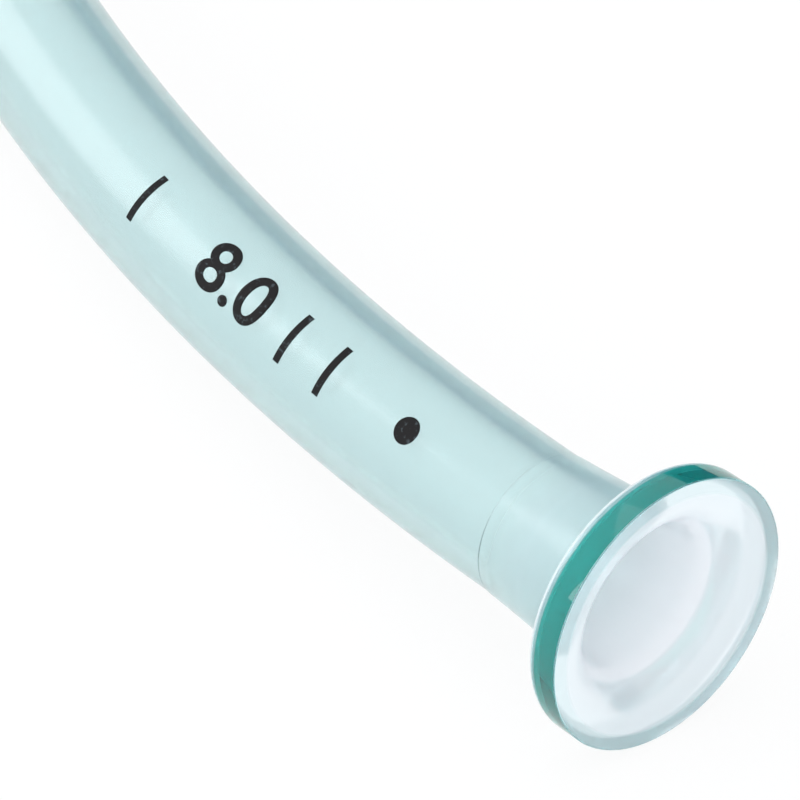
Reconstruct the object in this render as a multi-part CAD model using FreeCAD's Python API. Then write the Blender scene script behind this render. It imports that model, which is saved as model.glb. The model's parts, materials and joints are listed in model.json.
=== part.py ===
# Nasopharyngeal airway, size 8.0: a curved clear tube with a moulded flange at its outer end.
# Millimetres. The airway is drawn with the mouth of its flange facing +X, the middle of the flange's
# face at the origin, the tube running to -X and its bend opening to +Y. It is then turned to the way
# it lies on a table, where the disc's edge and one place along the tube touch the surface.
import FreeCAD, Part
import math
import os

from FreeCAD import Matrix, Vector

# Tube
bore_radius = 4.0            # 8.0 mm internal diameter, also the flange's
tube_wall = 1.35
overall_length = 155.0       # along the centre line, from the flange's face to the point of the tip
bend_radius = 212.0          # of the centre line
bevel_angle = 45.0           # between the slanting cut at the tip and the centre line
tip_round = 0.45             # on the cut's outer and inner edges

# Flange: disc, bell mouth and neck
disc_radius = 10.0
disc_thickness = 2.9
disc_front_round = 0.1
disc_back_round = 1.0
bell_radius = 9.0            # of the bell mouth where it meets the face
bell_depth = 9.0             # from the face to where the bell mouth has narrowed to the bore
neck_length = 9.5            # from the disc's back to the joint with the tube
neck_flare = 0.93            # how far the neck stands out over the tube at the disc
neck_step = 0.07             # how far it stands out at the joint
neck_flare_round = 115.0     # radius of the flare's hollow outline
neck_root_round = 0.9        # fillet between the neck and the disc's back

tube_radius = bore_radius + tube_wall
joint_depth = disc_thickness + neck_length
tip_reach = tube_radius / math.tan(math.radians(bevel_angle))
bend_angle = (overall_length - joint_depth) / bend_radius
cut_angle = bend_angle - tip_reach / bend_radius
bend_centre = Vector(-joint_depth, bend_radius, 0)
upwards = Vector(0, 0, 1)


def at(depth, radius):
    """A point of the flange's section, by its depth behind the face and its distance from the axis."""
    return Vector(-depth, 0, radius)


def round_edge(centre, radius, start, end):
    """An arc of the section about a centre, between two directions in degrees from +X towards +Z."""
    turns = [math.radians(degrees) for degrees in (start, (start + end) / 2, end)]
    points = [centre + Vector(math.cos(turn), 0, math.sin(turn)) * radius for turn in turns]
    return Part.Arc(*points).toShape()


def bell_edge(centre):
    """A quarter of an ellipse about a centre, between the face and the bore's wall."""
    whole = Part.Ellipse(at(0, bell_radius), at(bell_depth, bore_radius), centre)
    return Part.ArcOfEllipse(whole, 0, math.radians(90)).toShape()


def hollow_edge(start, end, radius):
    """An arc of the section between two points, sagging towards the axis."""
    chord = end - start
    sag = radius - math.sqrt(radius ** 2 - (chord.Length / 2) ** 2)
    inwards = Vector(-chord.z, 0, chord.x).normalize()
    return Part.Arc(start, (start + end) / 2 + inwards * sag, end).toShape()


def make_flange():
    """The disc, the bell mouth in its face and the flared neck behind it, turned from one section."""
    bell_centre = at(bell_depth, bell_radius)
    front_corner = at(disc_front_round, disc_radius - disc_front_round)
    back_corner = at(disc_thickness - disc_back_round, disc_radius - disc_back_round)
    root = at(disc_thickness, tube_radius + neck_flare)
    joint_outside = at(joint_depth, tube_radius + neck_step)
    joint_inside = at(joint_depth, bore_radius)
    edges = [
        bell_edge(bell_centre),
        Part.makeLine(at(0, bell_radius), at(0, front_corner.z)),
        round_edge(front_corner, disc_front_round, 0, 90),
        Part.makeLine(at(disc_front_round, disc_radius), Vector(back_corner.x, 0, disc_radius)),
        round_edge(back_corner, disc_back_round, 90, 180),
        Part.makeLine(at(disc_thickness, back_corner.z), root),
        hollow_edge(root, joint_outside, neck_flare_round),
        Part.makeLine(joint_outside, joint_inside),
        Part.makeLine(joint_inside, at(bell_depth, bore_radius)),
    ]
    section = Part.Face(Part.Wire(edges))
    flange = section.revolve(Vector(0, 0, 0), Vector(1, 0, 0), 360)
    root_ring = min(flange.Edges, key=lambda edge: ring_distance(edge, root))
    return flange.makeFillet(neck_root_round, [root_ring]).Solids[0]


def ring_distance(edge, section_corner):
    """How far a round edge of the flange is from the ring that a corner of the section makes."""
    ring = Part.makeCircle(section_corner.z, Vector(section_corner.x, 0, 0), Vector(1, 0, 0))
    middle = edge.valueAt((edge.FirstParameter + edge.LastParameter) / 2)
    return ring.distToShape(Part.Vertex(middle))[0]


def along_bend(angle):
    """The centre line's point at an angle round the bend, and its direction there towards the tip."""
    spoke = Vector(-math.sin(angle), -math.cos(angle), 0)
    return bend_centre + spoke * bend_radius, upwards.cross(spoke) * -1


def make_tube():
    """The tube from its joint to its tip: a ring swept round the bend, cut on a slant and rounded."""
    start, backwards = along_bend(0)
    outside = Part.Wire(Part.makeCircle(tube_radius, start, backwards))
    inside = Part.Wire(Part.makeCircle(bore_radius, start, backwards))
    ring = Part.Face([outside, inside])
    ring.validate()
    past_tip = bend_angle + tip_reach / bend_radius
    tube = ring.revolve(bend_centre, upwards * -1, math.degrees(past_tip))

    # The cut faces up as the airway lies, which is the wearer's left.
    cut_centre, forwards = along_bend(cut_angle)
    slant = math.radians(bevel_angle)
    cut_normal = forwards * math.sin(slant) + upwards * math.cos(slant)
    waste_size = 4 * (tube_radius + tip_reach)
    waste = Part.makeBox(waste_size, waste_size, waste_size, Vector(-waste_size / 2, -waste_size / 2, 0))
    waste.Placement = FreeCAD.Placement(cut_centre, FreeCAD.Rotation(upwards, cut_normal))
    tube = tube.cut(waste)
    cut_face = min(tube.Faces, key=lambda face: abs(face.CenterOfMass.distanceToPlane(cut_centre, cut_normal)))
    return tube.makeFillet(tip_round, cut_face.Edges).Solids[0]


def touching(angle):
    """The table's normal where the disc's edge and the tube at this angle both touch it, and both points.

    The bend's plane leans about the tube's touching place until the disc's edge, which reaches lower
    than the tube, comes up to the same height.
    """
    rim = disc_radius - disc_back_round
    rim_centre = Vector(disc_back_round - disc_thickness, 0, 0)
    reach = (joint_depth + rim_centre.x) * math.sin(angle) + bend_radius * (1 - math.cos(angle))
    drop = tube_radius - disc_back_round
    spread = reach ** 2 + (rim * math.sin(angle)) ** 2
    lean = (math.sqrt((drop * reach) ** 2 + spread * (rim ** 2 - drop ** 2)) - drop * reach) / spread
    normal = Vector(lean * math.sin(angle), lean * math.cos(angle), math.sqrt(1 - lean ** 2))
    rim_spoke = Vector(0, normal.y, normal.z).normalize()
    disc_touch = rim_centre - rim_spoke * rim - normal * disc_back_round
    tube_touch = along_bend(angle)[0] - normal * tube_radius
    return normal, disc_touch, tube_touch


def resting_turn(centre_of_mass):
    """The turn and lift that lay the airway on the table, with its mass over the line of its two points."""
    near_tip, near_flange = bend_angle, bend_angle / 3
    halvings = 50
    for _ in range(halvings):
        angle = (near_tip + near_flange) / 2
        normal, disc_touch, tube_touch = touching(angle)
        if (tube_touch - disc_touch).cross(centre_of_mass - disc_touch).dot(normal) < 0:
            near_flange = angle
        else:
            near_tip = angle
    ahead = (Vector(1, 0, 0) - normal * normal.x).normalize()
    left = normal.cross(ahead)
    lift = -normal.dot(disc_touch)
    return Matrix(ahead.x, ahead.y, ahead.z, 0, left.x, left.y, left.z, 0, normal.x, normal.y, normal.z, lift)


def lay_down(solids):
    """The solids as they lie on the table, the middle of their footprint at the origin, and the move."""
    volume = sum(solid.Volume for solid in solids)
    centre_of_mass = Vector(0, 0, 0)
    for solid in solids:
        centre_of_mass += solid.CenterOfMass * (solid.Volume / volume)
    turn = resting_turn(centre_of_mass)
    turned = Part.makeCompound([solid.transformed(turn) for solid in solids])
    footprint = turned.optimalBoundingBox(False, False)
    shift = Matrix()
    shift.move(-footprint.Center.x, -footprint.Center.y, 0)
    return [solid.transformed(shift) for solid in turned.Solids], shift * turn


names = ["flange", "airway_tube"]
placed, lying = lay_down([make_flange(), make_tube()])
os.makedirs("parts", exist_ok=True)
for name, solid in zip(names, placed):
    solid.exportStep(f"parts/{name}.step")
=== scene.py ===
# A clear nasal airway lying on a pale studio floor, with plain size marks printed on its tube.
# Sizes are in metres. The airway is shaped as it is drawn, with the mouth of its flange facing +X, the
# middle of the flange's face at the origin and its bend opening to +Y. It is then laid where the frame
# has it.
import json
import math

import bmesh
import bpy
from mathutils import Matrix, Vector


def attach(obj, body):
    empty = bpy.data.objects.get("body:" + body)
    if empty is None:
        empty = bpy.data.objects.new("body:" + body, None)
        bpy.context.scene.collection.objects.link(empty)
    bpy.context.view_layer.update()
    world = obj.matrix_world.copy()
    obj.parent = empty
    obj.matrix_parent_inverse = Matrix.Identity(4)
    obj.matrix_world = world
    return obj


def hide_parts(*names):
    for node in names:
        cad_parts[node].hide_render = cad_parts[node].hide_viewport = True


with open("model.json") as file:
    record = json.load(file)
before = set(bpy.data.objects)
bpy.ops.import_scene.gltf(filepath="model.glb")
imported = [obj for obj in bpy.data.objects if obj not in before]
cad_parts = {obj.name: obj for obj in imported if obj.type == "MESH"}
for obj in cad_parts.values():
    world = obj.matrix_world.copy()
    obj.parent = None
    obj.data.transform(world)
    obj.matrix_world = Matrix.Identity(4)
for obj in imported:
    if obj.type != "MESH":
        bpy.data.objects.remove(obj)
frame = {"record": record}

bl_info = {
    "name": "Nasal Airway",
    "version": (1, 0, 0),
    "blender": (4, 5, 0),
    "location": "View3D > Sidebar > Airway",
    "description": "Builds a clear nasal airway, its printed size marks and a pale studio",
    "category": "Add Mesh",
}

MM = 0.001
MOUNTS = {mount["name"]: mount for mount in frame["record"]["mounts"]}
BORE = MOUNTS["bore"]
BORE_RADIUS = BORE["dims"]["r_mm"] * MM
BORE_LENGTH = BORE["dims"]["length_mm"] * MM
FROSTED = "frosted"
HAZY = "hazy"
EDGE = "edge"
SEAM = "seam"
COLOUR_A, COLOUR_B, COLOUR_RESULT = 6, 7, 2    # the Mix node's sockets for colours
CAP_SHARE = 0.729            # height of a digit in the built-in font, for a size of 1


def length(default, name, description):
    """A size in metres."""
    return bpy.props.FloatProperty(
        name=name, description=description, default=default, min=0, precision=5,
        subtype="DISTANCE", unit="LENGTH")


def turn(degrees, name, description):
    """An angle, given in degrees."""
    return bpy.props.FloatProperty(
        name=name, description=description, default=math.radians(degrees),
        subtype="ANGLE", unit="ROTATION")


def linear(hex_colour):
    """An sRGB hex colour as the linear RGB that a shader takes."""
    channels = [int(hex_colour[place:place + 2], 16) / 255 for place in (1, 3, 5)]
    return [c / 12.92 if c <= 0.04045 else ((c + 0.055) / 1.055) ** 2.4 for c in channels]


def colour(hex_colour, name, description):
    """A colour, given as sRGB hex."""
    return bpy.props.FloatVectorProperty(
        name=name, description=description, default=linear(hex_colour), min=0, max=1, size=3,
        subtype="COLOR")


def number(default, name, description):
    """A plain number."""
    return bpy.props.FloatProperty(name=name, description=description, default=default, min=0)


class AirwaySizes(bpy.types.PropertyGroup):
    """Sizes of the airway that the looks need."""

    tube_wall: length(1.35 * MM, "Tube wall", "Thickness of the tube's wall")
    overall_length: length(155 * MM, "Overall length", "Along the centre line, from face to tip")
    bend_radius: length(212 * MM, "Bend radius", "Radius of the centre line's bend")
    bevel_angle: turn(45, "Bevel angle", "Between the slanting cut at the tip and the centre line")
    tip_round: length(0.55 * MM, "Tip round", "How far the tip's rounding reaches from each edge")
    disc_radius: length(10 * MM, "Disc radius", "Radius of the flange's disc")
    disc_thickness: length(2.9 * MM, "Disc thickness", "Thickness of the flange's disc")
    disc_front_round: length(0.1 * MM, "Front edge round", "Rounding of the disc's front edge")
    disc_back_round: length(1.0 * MM, "Back edge round", "Rounding of the disc's back edge")
    bell_radius: length(9.0 * MM, "Bell radius", "Radius of the bell mouth where it meets the face")
    bell_depth: length(9.0 * MM, "Bell depth", "From the face to where the bell has narrowed to the bore")
    neck_flare: length(0.93 * MM, "Neck flare", "How far the neck stands out over the tube at the disc")
    neck_step: length(0.07 * MM, "Neck step", "How far the neck stands out over the tube at the joint")
    seam_width: length(0.12 * MM, "Seam width", "Half the width of the fine line at the joint")
    neck_flare_round: length(115 * MM, "Neck flare round", "Radius of the neck's hollow outline")
    neck_root_round: length(0.9 * MM, "Neck root round", "Fillet between the neck and the disc's back")


class PrintSizes(bpy.types.PropertyGroup):
    """Sizes and places of the printed marks."""

    digit_height: length(4.0 * MM, "Digit height", "Height of the printed digits")
    stroke_width: length(0.62 * MM, "Stroke width", "Width of the plain strokes")
    boldness: length(0.08 * MM, "Boldness", "How far the digits' outlines are pushed out")
    ink_depth: length(0.02 * MM, "Ink depth", "Thickness of the ink")
    ink_gap: length(0.005 * MM, "Ink gap", "Clearance between the ink and the tube")
    print_turn: turn(120, "Turn round the tube", "Where the print's line lies, from the inside of the bend")
    size_place: length(41.5 * MM, "Size number's place", "Along the centre line from the face")
    far_stroke_place: length(53.2 * MM, "Far stroke's place", "Along the centre line from the face")
    middle_stroke_place: length(34.6 * MM, "Middle stroke's place", "Along the centre line from the face")
    near_stroke_place: length(30.2 * MM, "Near stroke's place", "Along the centre line from the face")
    dot_place: length(21.9 * MM, "Dot's place", "Along the centre line from the face")
    dot_radius: length(1.0 * MM, "Dot radius", "Radius of the plain dot")
    number_stretch: number(1.2, "Number stretch", "How much wider the digits are than the font draws them")


class PlasticLook(bpy.types.PropertyGroup):
    """Colours and surface of the plastic and the ink."""

    tint: colour("#FBFBFF", "Moulded tint", "Faint colour of the disc's surface")
    frost_tint: colour("#F0FAFB", "Frosted tint", "Faint colour of the frosted surface")
    depth_colour: colour("#43EEED", "Depth colour", "Colour that light takes on within the plastic")
    density: number(72, "Density", "How fast the depth colour builds up, for each metre")
    gloss: number(0.02, "Glossy roughness", "Roughness of the disc's rim and back, from a polished mould")
    haze: number(0.2, "Hazy roughness", "Roughness of the face and the bell")
    cloud: number(0.78, "Cloudiness", "Share of the light that the hazy surface scatters back")
    # Painted shade: a deep teal tint on the disc's edge. It stands in for light lost on long paths through
    # the disc.
    painted_edge_shade: colour("#06AC98", "Edge tint", "Colour that the disc's edge gives to light passing it")
    frost: number(0.2, "Frosted roughness", "Roughness of the neck, the bore and the tube")
    milk: number(0.16, "Milkiness", "Share of the light that the frosted surface scatters back")
    ripple: length(0.02 * MM, "Ripple", "Height of the faint waves in the surface")
    seam: colour("#12504E", "Seam", "Tint of the fine line at the joint")
    ink: colour("#060508", "Ink", "Colour of the print")
    thin_ink: colour("#5D6B72", "Thin ink", "Colour of the print where the ink is thin")


class StudioLook(bpy.types.PropertyGroup):
    """The pale studio and the camera."""

    floor: colour("#F7F8FA", "Floor", "Colour of the floor")
    card: colour("#46657A", "Card", "Colour of the card beyond the airway")
    camera_azimuth: turn(45.0849, "Camera azimuth", "Round the airway, from looking along +Y")
    camera_elevation: turn(38.9857, "Camera elevation", "Above the horizon")
    camera_roll: turn(5.8328, "Camera roll", "Turn of the camera about its own line of sight")
    camera_distance: length(490.915 * MM, "Camera distance", "From the point that the camera looks at")
    camera_lens: number(340.122, "Lens", "Focal length in millimetres, on a 36 mm sensor")
    aim: bpy.props.FloatVectorProperty(
        name="Aim", description="The point that the camera looks at", size=3, subtype="XYZ", unit="LENGTH",
        default=(53.436 * MM, -26.665 * MM, 19.565 * MM))


def add_node(tree, kind, inputs=None, **settings):
    """Adds a node with its settings. Each input is a value, or a (node, output name) pair to link from."""
    node = tree.nodes.new(kind)
    for name, value in settings.items():
        setattr(node, name, value)
    for name, value in (inputs or {}).items():
        if isinstance(value, tuple) and isinstance(value[0], bpy.types.Node):
            tree.links.new(value[0].outputs[value[1]], node.inputs[name])
        else:
            node.inputs[name].default_value = value
    return node


def new_material(name):
    """An empty material and its node tree."""
    material = bpy.data.materials.new(name)
    material.use_nodes = True
    material.node_tree.nodes.clear()
    return material, material.node_tree


def mix_colour_by(tree, base, share, tint):
    """The base colour, given as (node, output name), mixed with another colour by an attribute: painted
    shade on the disc's edge, and the line at the joint.
    """
    mixed = add_node(tree, "ShaderNodeMix", {"Factor": (share, "Fac")}, data_type="RGBA")
    tree.links.new(base[0].outputs[base[1]], mixed.inputs[COLOUR_A])
    mixed.inputs[COLOUR_B].default_value = (*tint, 1)
    return mixed


def clear_pvc(look):
    """Plasticised PVC, extruded and moulded clear with a blue-green dye.

    Through a thin wall it is nearly colourless; at the disc's edge, where light has come a long way
    through it, it is a deep teal, and there a deep teal tint on the surface adds painted shade. The
    disc's edge and back are glossy from their mould, the face and the bell are pale and cloudy, and the
    neck and the tube are frosted, with the faint waves of soft extruded plastic.
    """
    material, tree = new_material("clear_tinted_pvc")
    place = add_node(tree, "ShaderNodeTexCoord")
    wave_length = 6 * MM
    waves = add_node(tree, "ShaderNodeTexNoise", {
        "Vector": (place, "Object"), "Scale": 1 / wave_length, "Detail": 1.0, "Roughness": 0.4})
    bump = add_node(tree, "ShaderNodeBump", {
        "Height": (waves, "Fac"), "Strength": 1.0, "Distance": look.ripple})
    frosted = add_node(tree, "ShaderNodeAttribute", attribute_name=FROSTED)
    hazy = add_node(tree, "ShaderNodeAttribute", attribute_name=HAZY)
    moulded = add_node(tree, "ShaderNodeMapRange", {
        "Value": (hazy, "Fac"), "To Min": look.gloss, "To Max": look.haze})
    roughness = add_node(tree, "ShaderNodeMapRange", {
        "Value": (frosted, "Fac"), "To Min": (moulded, "Result"), "To Max": look.frost})
    clouded = add_node(tree, "ShaderNodeMapRange", {
        "Value": (hazy, "Fac"), "To Min": 1.0, "To Max": 1 - look.cloud})
    clearness = add_node(tree, "ShaderNodeMapRange", {
        "Value": (frosted, "Fac"), "To Min": (clouded, "Result"), "To Max": 1 - look.milk})
    tint = add_node(tree, "ShaderNodeValToRGB", {"Fac": (frosted, "Fac")})
    tint.color_ramp.elements[0].color = (*look.tint, 1)
    tint.color_ramp.elements[1].color = (*look.frost_tint, 1)
    edge = add_node(tree, "ShaderNodeAttribute", attribute_name=EDGE)
    seam = add_node(tree, "ShaderNodeAttribute", attribute_name=SEAM)
    # Painted shade: the surface colour on the disc's edge is mixed towards a deep teal.
    with_edge_shade = mix_colour_by(tree, (tint, "Color"), edge, look.painted_edge_shade)
    lined = mix_colour_by(tree, (with_edge_shade, COLOUR_RESULT), seam, look.seam)
    surface = add_node(tree, "ShaderNodeBsdfPrincipled", {
        "Base Color": (lined, COLOUR_RESULT), "IOR": 1.54, "Roughness": (roughness, "Result"),
        "Transmission Weight": (clearness, "Result"), "Normal": (bump, "Normal")})
    depth = add_node(tree, "ShaderNodeVolumeAbsorption", {
        "Color": (*look.depth_colour, 1), "Density": look.density})
    add_node(tree, "ShaderNodeOutputMaterial", {"Surface": (surface, "BSDF"), "Volume": (depth, "Volume")})
    return material


def printed_ink(look):
    """Black pad-printed ink: nearly flat, a little paler where it is thin."""
    material, tree = new_material("black_print_ink")
    place = add_node(tree, "ShaderNodeTexCoord")
    speckle_width = 0.35 * MM
    speckle = add_node(tree, "ShaderNodeTexNoise", {
        "Vector": (place, "Object"), "Scale": 1 / speckle_width, "Detail": 3.0})
    thin = add_node(tree, "ShaderNodeMapRange", {
        "Value": (speckle, "Fac"), "From Min": 0.58, "From Max": 0.7, "To Min": 0.0, "To Max": 0.35})
    shade = add_node(tree, "ShaderNodeMix", {"Factor": (thin, "Result")}, data_type="RGBA")
    shade.inputs[COLOUR_A].default_value = (*look.ink, 1)
    shade.inputs[COLOUR_B].default_value = (*look.thin_ink, 1)
    surface = add_node(tree, "ShaderNodeBsdfPrincipled", {"Roughness": 0.6, "IOR": 1.3})
    tree.links.new(shade.outputs[COLOUR_RESULT], surface.inputs["Base Color"])
    add_node(tree, "ShaderNodeOutputMaterial", {"Surface": (surface, "BSDF")})
    return material


def lying():
    """The move from the airway as drawn to where the frame has it."""
    mouth = Vector(BORE["axis"]).normalized()
    bore_middle = Vector(BORE["pos_m"])
    sizes = bpy.context.scene.airway_sizes
    face = bore_middle + mouth * (BORE_LENGTH / 2 + sizes.bell_depth)
    to_tip = Vector(MOUNTS["tube_outside"]["pos_m"]) - bore_middle
    bend_side = (to_tip - mouth * to_tip.dot(mouth)).normalized()
    columns = Matrix((mouth, bend_side, mouth.cross(bend_side))).transposed()
    return Matrix.Translation(face) @ columns.to_4x4()


def bend_centre(sizes):
    """The middle of the bend, as drawn."""
    return Vector((-joint_depth(sizes), sizes.bend_radius, 0))


def joint_depth(sizes):
    """How far behind the face the flange ends and the tube begins."""
    return BORE_LENGTH + sizes.bell_depth


def finish_piece(name, mesh, material, replaced=()):
    """Makes an object of the mesh, which rides on the frame's body."""
    piece = bpy.data.objects.new(name, mesh)
    bpy.context.collection.objects.link(piece)
    mesh.materials.append(material)
    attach(piece, "root")
    if replaced:
        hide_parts(*replaced)
    return piece


class Outline:
    """A section's outline, drawn from point to point, each as depth behind the face and radius."""

    def __init__(self, mesh, depth, radius):
        self.mesh = mesh
        self.last = mesh.verts.new(self.point(depth, radius))

    @staticmethod
    def point(depth, radius):
        return Vector((-depth, 0, radius))

    def line(self, depth, radius):
        """A straight edge to a point."""
        corner = self.mesh.verts.new(self.point(depth, radius))
        self.mesh.edges.new((self.last, corner))
        self.last = corner

    def arc(self, depth, radius, angle, steps):
        """An arc about a centre, from the last point through an angle."""
        swept = bmesh.ops.spin(
            self.mesh, geom=[self.last], cent=self.point(depth, radius), axis=(0, -1, 0), angle=angle,
            steps=steps)
        self.last = [item for item in swept["geom_last"] if isinstance(item, bmesh.types.BMVert)][0]

    def bell(self, sizes):
        """A quarter of an ellipse, from the face to the bore's wall: a quarter circle stretched in depth."""
        reach = sizes.bell_radius - BORE_RADIUS
        steps = 32
        before = set(self.mesh.verts)
        self.arc(reach, sizes.bell_radius, -math.pi / 2, steps)
        swept = [vertex for vertex in self.mesh.verts if vertex not in before]
        bmesh.ops.scale(self.mesh, vec=(sizes.bell_depth / reach, 1, 1), verts=swept)


def draw_flange(mesh, sizes):
    """The flange's outline from the joint's outside, round disc and bell, to the joint's inside."""
    tube_radius = BORE_RADIUS + sizes.tube_wall
    joint = joint_depth(sizes)
    neck_end = Vector((joint, tube_radius + sizes.neck_step))
    neck_root = Vector((sizes.disc_thickness, tube_radius + sizes.neck_flare))
    chord = neck_root - neck_end
    away = Vector((-chord.y, chord.x)).normalized()
    if away.y < 0:
        away = -away
    drop = math.sqrt(sizes.neck_flare_round ** 2 - (chord.length / 2) ** 2)
    flare_centre = (neck_root + neck_end) / 2 + away * drop
    fillet_depth = sizes.disc_thickness + sizes.neck_root_round
    reach = sizes.neck_flare_round - sizes.neck_root_round
    fillet_radius = flare_centre.y - math.sqrt(reach ** 2 - (fillet_depth - flare_centre.x) ** 2)

    start_angle = math.atan2(neck_end.x - flare_centre.x, flare_centre.y - neck_end.y)
    end_angle = math.atan2(fillet_depth - flare_centre.x, flare_centre.y - fillet_radius)
    quarter = math.pi / 2
    outline = Outline(mesh, joint, tube_radius)
    outline.line(*neck_end)
    outline.arc(*flare_centre, start_angle - end_angle, 12)
    outline.arc(fillet_depth, fillet_radius, quarter + end_angle, 10)
    back_round, front_round = sizes.disc_back_round, sizes.disc_front_round
    outline.line(sizes.disc_thickness, sizes.disc_radius - back_round)
    outline.arc(sizes.disc_thickness - back_round, sizes.disc_radius - back_round, -quarter, 16)
    outline.line(front_round, sizes.disc_radius)
    outline.arc(front_round, sizes.disc_radius - front_round, -quarter, 6)
    outline.line(0, sizes.bell_radius)
    outline.bell(sizes)
    outline.line(joint, BORE_RADIUS)


def mark_surfaces(mesh, sizes):
    """Keeps how frosted each point is, how hazy it is and whether it lies on the disc's edge.

    The neck and the tube are frosted, and the face, the bell and the disc's back round are hazy.
    """
    frosted = mesh.verts.layers.float.new(FROSTED)
    hazy = mesh.verts.layers.float.new(HAZY)
    edge = mesh.verts.layers.float.new(EDGE)
    fade = 1.5 * MM
    tube_radius = BORE_RADIUS + sizes.tube_wall
    tolerance = 1e-6
    clear_part = 0.3             # of the back round, next to the disc's edge
    hazy_round = sizes.disc_thickness - sizes.disc_back_round * (1 - clear_part)
    round_start = sizes.disc_radius - sizes.disc_back_round
    back_share = 0.6
    face_share = 0.4
    bell_share = 0.75
    clouding_depth = 2 * MM
    for vertex in mesh.verts:
        depth, radial = -vertex.co.x, vertex.co.yz.length
        in_bell = depth < sizes.disc_thickness - tolerance and radial < sizes.bell_radius - tolerance
        inside = in_bell or radial < tube_radius
        on_back_round = hazy_round < depth < sizes.disc_thickness and radial > round_start
        if inside:
            vertex[hazy] = min(1, bell_share + (1 - bell_share) * depth / clouding_depth)
        elif depth < tolerance:
            vertex[hazy] = face_share
        elif on_back_round:
            vertex[hazy] = back_share
        # The disc's edge is marked for its painted shade, a deep teal tint on its surface.
        on_disc = depth < sizes.disc_thickness + tolerance
        vertex[edge] = 1 if on_disc and radial > sizes.disc_radius - tolerance else 0
        glossy_depth = joint_depth(sizes) - fade if inside else sizes.disc_thickness
        vertex[frosted] = min(1, max(0, (depth - glossy_depth) / fade))


def mark_seam(mesh, sizes):
    """Cuts a narrow strip at the joint's step and keeps how strongly its line shows round the neck."""
    joint = joint_depth(sizes)
    for side in (-1, 1):
        bmesh.ops.bisect_plane(
            mesh, geom=mesh.verts[:] + mesh.edges[:] + mesh.faces[:], dist=1e-7,
            plane_co=(side * sizes.seam_width - joint, 0, 0), plane_no=(1, 0, 0))
    seam = mesh.verts.layers.float.new(SEAM)
    strongest, spread, least, growth = math.radians(180), math.radians(50), 0.08, 2.0
    tolerance = 1e-6
    for vertex in mesh.verts:
        outside = vertex.co.yz.length > BORE_RADIUS + sizes.tube_wall - tolerance
        if outside and abs(-vertex.co.x - joint) < tolerance:
            away = abs(math.atan2(vertex.co.z, vertex.co.y) % math.tau - strongest)
            vertex[seam] = min(1, max(least, growth * (1 - away / spread)))


def sharpen_steps(mesh):
    """Marks the edges where the surface turns sharply, as at the joint, so that they shade as edges."""
    sharpest_smooth = math.radians(35)
    for edge in mesh.edges:
        edge.smooth = edge.calc_face_angle() < sharpest_smooth


def open_edges(mesh):
    """The edges with a face on one side only."""
    return [edge for edge in mesh.edges if edge.is_boundary]


def draw_tube(mesh, sizes):
    """The two walls from the joint to the tip, swept round the bend from the flange's open end."""
    tube_radius = BORE_RADIUS + sizes.tube_wall
    tip_reach = tube_radius / math.tan(sizes.bevel_angle)
    cut_angle = (sizes.overall_length - joint_depth(sizes) - tip_reach) / sizes.bend_radius
    ring_spacing = 1.2 * MM
    steps = round(cut_angle * sizes.bend_radius / ring_spacing)
    centre = bend_centre(sizes)
    bmesh.ops.spin(
        mesh, geom=open_edges(mesh), cent=centre, axis=(0, 0, -1), angle=cut_angle, steps=steps)
    slant_tip(mesh, sizes, cut_angle)
    rims = open_edges(mesh)
    bmesh.ops.bridge_loops(mesh, edges=rims)
    bmesh.ops.bevel(
        mesh, geom=rims, affect="EDGES", offset=sizes.tip_round, segments=6, profile=0.5, material=-1)


def slant_tip(mesh, sizes, cut_angle):
    """Shears the end of the tube, more and more towards its last ring, which lies in the slanting cut."""
    centre = bend_centre(sizes)
    slanting_length = 18 * MM
    for vertex in mesh.verts:
        spoke = vertex.co - centre
        angle = math.atan2(-spoke.x, -spoke.y)
        share = 1 - (cut_angle - angle) * sizes.bend_radius / slanting_length
        if vertex.co.x < -joint_depth(sizes) and share > 0:
            slide = math.asin(vertex.co.z / math.tan(sizes.bevel_angle) / spoke.xy.length)
            turned = Matrix.Rotation(share * slide, 3, "Z") @ spoke
            vertex.co = centre + turned


def make_body():
    """The flange and the tube as one closed skin, so that light passes their joint as it passes a bond."""
    sizes = bpy.context.scene.airway_sizes
    mesh = bmesh.new()
    draw_flange(mesh, sizes)
    around = 160
    bmesh.ops.spin(
        mesh, geom=mesh.verts[:] + mesh.edges[:], cent=(0, 0, 0), axis=(1, 0, 0), angle=math.tau,
        steps=around, use_merge=True)
    draw_tube(mesh, sizes)
    return mesh


class AIRWAY_OT_body(bpy.types.Operator):
    """Builds the clear airway, flange and tube, as one piece of plastic"""

    bl_idname = "airway.body"
    bl_label = "Airway Body"

    def execute(self, context):
        mesh = make_body()
        bmesh.ops.recalc_face_normals(mesh, faces=mesh.faces[:])
        if open_edges(mesh):
            raise RuntimeError("the airway's skin has an open edge")
        mark_seam(mesh, context.scene.airway_sizes)
        mark_surfaces(mesh, context.scene.airway_sizes)
        sharpen_steps(mesh)
        bmesh.ops.transform(mesh, matrix=lying(), verts=mesh.verts)
        for face in mesh.faces:
            face.smooth = True
        data = bpy.data.meshes.new("airway_body")
        mesh.to_mesh(data)
        mesh.free()
        plastic = clear_pvc(context.scene.plastic_look)
        finish_piece("airway_body", data, plastic, ("flange", "airway_tube"))
        return {"FINISHED"}


def on_tube(sizes, place, psi, radius):
    """A point near the tube, by its place along the centre line, its turn round the tube and its radius."""
    angle = (place - joint_depth(sizes)) / sizes.bend_radius
    spoke = Vector((-math.sin(angle), -math.cos(angle), 0))
    reach = sizes.bend_radius - radius * math.cos(psi)
    return bend_centre(sizes) + spoke * reach + Vector((0, 0, radius * math.sin(psi)))


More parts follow.
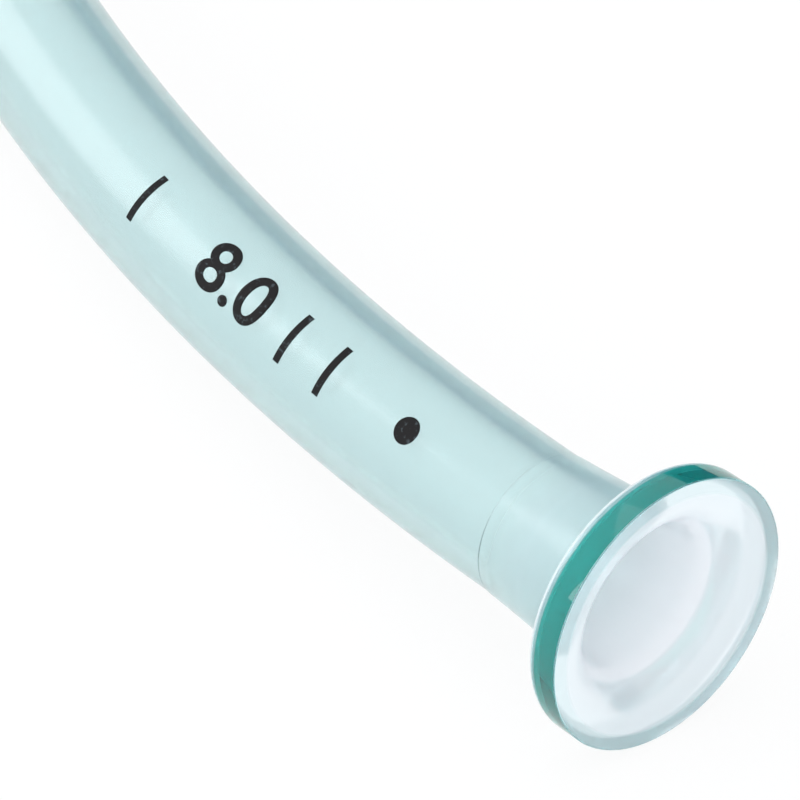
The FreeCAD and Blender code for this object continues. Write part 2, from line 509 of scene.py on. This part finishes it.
def flat_number(text, height, boldness):
    """A plain number as a flat outline in ink, its middle at the origin."""
    curve = bpy.data.curves.new("number", "FONT")
    curve.body = text
    curve.size = (height - 2 * boldness) / CAP_SHARE
    curve.offset = boldness
    curve.align_x = "CENTER"
    curve.align_y = "CENTER"
    holder = bpy.data.objects.new("number", curve)
    flat = bpy.data.meshes.new_from_object(holder)
    mesh = bmesh.new()
    mesh.from_mesh(flat)
    bpy.data.objects.remove(holder)
    bpy.data.curves.remove(curve)
    bpy.data.meshes.remove(flat)
    return mesh


def cut_fine(mesh, spacing):
    """Cuts a flat mesh into a grid, so that it can be wrapped."""
    for axis in (Vector((1, 0, 0)), Vector((0, 1, 0))):
        places = [vertex.co.dot(axis) for vertex in mesh.verts]
        cut = min(places) + spacing
        while cut < max(places):
            geometry = mesh.verts[:] + mesh.edges[:] + mesh.faces[:]
            bmesh.ops.bisect_plane(mesh, geom=geometry, plane_co=axis * cut, plane_no=axis, dist=1e-7)
            cut += spacing


def make_marks():
    """The printed marks as one mesh: the size number, plain strokes beside it and a dot."""
    sizes = bpy.context.scene.airway_sizes
    marks = bpy.context.scene.print_sizes
    tube_radius = BORE_RADIUS + sizes.tube_wall
    whole = bmesh.new()
    number_mesh = flat_number("8.0", marks.digit_height, marks.boldness)
    parts = [(number_mesh, marks.size_place, marks.number_stretch)]
    for place in (marks.far_stroke_place, marks.middle_stroke_place, marks.near_stroke_place):
        stroke = bmesh.new()
        bmesh.ops.create_grid(stroke, x_segments=1, y_segments=1, size=0.5)
        bmesh.ops.scale(stroke, vec=(marks.stroke_width, marks.digit_height, 1), verts=stroke.verts)
        parts.append((stroke, place, 1.0))
    dot = bmesh.new()
    bmesh.ops.create_circle(dot, cap_ends=True, segments=48, radius=marks.dot_radius)
    parts.append((dot, marks.dot_place, 1.0))
    wrap_spacing = 0.25 * MM
    for mesh, place, stretch in parts:
        bmesh.ops.scale(mesh, vec=(stretch, 1, 1), verts=mesh.verts)
        bmesh.ops.remove_doubles(mesh, verts=mesh.verts, dist=1e-6)
        cut_fine(mesh, wrap_spacing)
        extruded = bmesh.ops.extrude_face_region(mesh, geom=mesh.faces[:])
        raised = [item for item in extruded["geom"] if isinstance(item, bmesh.types.BMVert)]
        bmesh.ops.translate(mesh, vec=(0, 0, marks.ink_depth), verts=raised)
        bmesh.ops.recalc_face_normals(mesh, faces=mesh.faces[:])
        for vertex in mesh.verts:
            along, up, out = vertex.co
            psi = marks.print_turn - up / tube_radius
            vertex.co = on_tube(sizes, place - along, psi, tube_radius + marks.ink_gap + out)
        data = bpy.data.meshes.new("mark")
        mesh.to_mesh(data)
        mesh.free()
        whole.from_mesh(data)
        bpy.data.meshes.remove(data)
    return whole


class AIRWAY_OT_print(bpy.types.Operator):
    """Builds the printed size marks on the tube"""

    bl_idname = "airway.print"
    bl_label = "Size Marks"

    def execute(self, context):
        mesh = make_marks()
        bmesh.ops.transform(mesh, matrix=lying(), verts=mesh.verts)
        data = bpy.data.meshes.new("size_marks")
        mesh.to_mesh(data)
        mesh.free()
        finish_piece("size_marks", data, printed_ink(context.scene.plastic_look))
        return {"FINISHED"}


class AIRWAY_OT_studio(bpy.types.Operator):
    """Builds the floor, the lights and the camera"""

    bl_idname = "airway.studio"
    bl_label = "Studio"

    def execute(self, context):
        look = context.scene.studio_look
        make_floor(look)
        make_world()
        make_card(look)
        make_lights()
        make_camera(look)
        context.scene.view_settings.view_transform = "Standard"
        let_light_travel(context.scene)
        return {"FINISHED"}


def let_light_travel(scene):
    """Light runs far along the clear walls by bouncing inside them, so its paths aren't cut short."""
    bounces = 48
    scene.cycles.max_bounces = bounces
    scene.cycles.transmission_bounces = bounces
    scene.cycles.glossy_bounces = bounces


def shown_white(tree, strength):
    """A factor that is the strength for camera, glossy and transmission rays, and nothing for the rest."""
    path = add_node(tree, "ShaderNodeLightPath")
    seen = add_node(tree, "ShaderNodeMath", operation="MAXIMUM")
    tree.links.new(path.outputs["Is Camera Ray"], seen.inputs[0])
    tree.links.new(path.outputs["Is Glossy Ray"], seen.inputs[1])
    both = add_node(tree, "ShaderNodeMath", operation="MAXIMUM")
    tree.links.new(seen.outputs[0], both.inputs[0])
    tree.links.new(path.outputs["Is Transmission Ray"], both.inputs[1])
    factor = add_node(tree, "ShaderNodeMath", operation="MULTIPLY")
    tree.links.new(both.outputs[0], factor.inputs[0])
    factor.inputs[1].default_value = strength
    return factor


def make_floor(look):
    """A wide pale floor that shows nearly white and keeps a trace of the airway's shadow."""
    mesh = bmesh.new()
    bmesh.ops.create_circle(mesh, cap_ends=True, segments=96, radius=3.0)
    data = bpy.data.meshes.new("floor")
    mesh.to_mesh(data)
    mesh.free()
    shown_share = 0.92           # how much of what the camera sees is plain white, without the shadow
    material, tree = new_material("pale_floor")
    paint = add_node(tree, "ShaderNodeBsdfDiffuse", {"Color": (*look.floor, 1)})
    glow = add_node(tree, "ShaderNodeEmission", {"Color": (1, 1, 1, 1), "Strength": 1.0})
    mixed = add_node(tree, "ShaderNodeMixShader", {"Fac": (shown_white(tree, shown_share), 0)})
    tree.links.new(paint.outputs[0], mixed.inputs[1])
    tree.links.new(glow.outputs[0], mixed.inputs[2])
    add_node(tree, "ShaderNodeOutputMaterial", {"Surface": (mixed, 0)})
    data.materials.append(material)
    floor = bpy.data.objects.new("floor", data)
    bpy.context.collection.objects.link(floor)


def make_world():
    """Even white light all round."""
    world = bpy.data.worlds.new("studio_world")
    world.use_nodes = True
    tree = world.node_tree
    tree.nodes.clear()
    shade = add_node(tree, "ShaderNodeBackground", {"Color": (0.97, 0.985, 1.0, 1), "Strength": 1.0})
    add_node(tree, "ShaderNodeOutputWorld", {"Surface": (shade, "Background")})
    bpy.context.scene.world = world


def make_card(look):
    """A blue-grey card beyond the airway, unseen by the camera, which draws a soft line along the tube."""
    width, height = 0.6, 0.16
    middle = (-0.04, 0.22, 0.09)
    upright = Matrix.Rotation(math.radians(90), 3, "X")
    mesh = bmesh.new()
    bmesh.ops.create_grid(mesh, x_segments=1, y_segments=1, size=0.5)
    bmesh.ops.scale(mesh, vec=(width, height, 1), verts=mesh.verts)
    bmesh.ops.rotate(mesh, matrix=upright, verts=mesh.verts)
    bmesh.ops.translate(mesh, vec=middle, verts=mesh.verts)
    data = bpy.data.meshes.new("grey_card")
    mesh.to_mesh(data)
    mesh.free()
    material, tree = new_material("grey_card")
    paint = add_node(tree, "ShaderNodeBsdfDiffuse", {"Color": (*look.card, 1)})
    add_node(tree, "ShaderNodeOutputMaterial", {"Surface": (paint, 0)})
    data.materials.append(material)
    card = bpy.data.objects.new("grey_card", data)
    card.visible_camera = False
    card.visible_shadow = False
    bpy.context.collection.objects.link(card)


def make_lights():
    """Three wide soft lights: along the tube from its tip, from the print's side, and from above.

    The first two stand where the disc's edge doesn't mirror them into the camera.
    """
    target = Vector((0.04, -0.01, 0.01))
    for name, place, width, power in (
            ("key_light", Vector((-0.9, -0.35, 0.35)), 0.6, 2.1),
            ("fill_light", Vector((-0.2, -0.85, 0.45)), 0.5, 2.5),
            ("top_light", Vector((-0.2, -0.1, 1.0)), 0.8, 1.6)):
        light = bpy.data.lights.new(name, "AREA")
        light.size = width
        light.energy = power
        lamp = bpy.data.objects.new(name, light)
        lamp.location = place
        lamp.rotation_euler = (place - target).to_track_quat("Z", "Y").to_euler()
        bpy.context.collection.objects.link(lamp)


def make_camera(look):
    """The camera at the photograph's viewing angle."""
    azimuth, elevation = look.camera_azimuth, look.camera_elevation
    level_reach = math.cos(elevation)
    back = Vector((math.sin(azimuth) * level_reach, -math.cos(azimuth) * level_reach, math.sin(elevation)))
    across = Vector((math.cos(azimuth), math.sin(azimuth), 0))
    level = Matrix((across, back.cross(across), back)).transposed()
    data = bpy.data.cameras.new("camera")
    data.sensor_width = 36
    data.lens = look.camera_lens
    data.clip_start = 0.01
    camera = bpy.data.objects.new("camera", data)
    camera.rotation_euler = (level @ Matrix.Rotation(look.camera_roll, 3, "Z")).to_euler()
    camera.location = Vector(look.aim) + back * look.camera_distance
    bpy.context.collection.objects.link(camera)
    bpy.context.scene.camera = camera


class AIRWAY_PT_panel(bpy.types.Panel):
    """The airway's operators and values in the sidebar"""

    bl_label = "Nasal Airway"
    bl_idname = "AIRWAY_PT_panel"
    bl_space_type = "VIEW_3D"
    bl_region_type = "UI"
    bl_category = "Airway"

    def draw(self, context):
        for maker in MAKERS:
            self.layout.operator(maker.bl_idname)
        for group in GROUPS:
            values = getattr(context.scene, group)
            for name in values.bl_rna.properties.keys():
                if name not in ("rna_type", "name"):
                    self.layout.prop(values, name)


GROUPS = {
    "airway_sizes": AirwaySizes, "print_sizes": PrintSizes,
    "plastic_look": PlasticLook, "studio_look": StudioLook}
MAKERS = [AIRWAY_OT_body, AIRWAY_OT_print, AIRWAY_OT_studio]


def register():
    for group, kind in GROUPS.items():
        bpy.utils.register_class(kind)
        setattr(bpy.types.Scene, group, bpy.props.PointerProperty(type=kind))
    for kind in [*MAKERS, AIRWAY_PT_panel]:
        bpy.utils.register_class(kind)


def unregister():
    for kind in [AIRWAY_PT_panel, *MAKERS]:
        bpy.utils.unregister_class(kind)
    for group, kind in GROUPS.items():
        delattr(bpy.types.Scene, group)
        bpy.utils.unregister_class(kind)


def main():
    """Builds every piece and the stage."""
    register()
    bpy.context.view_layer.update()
    for maker in MAKERS:
        area, name = maker.bl_idname.split(".")
        getattr(getattr(bpy.ops, area), name)()


if __name__ == "__main__":
    main()
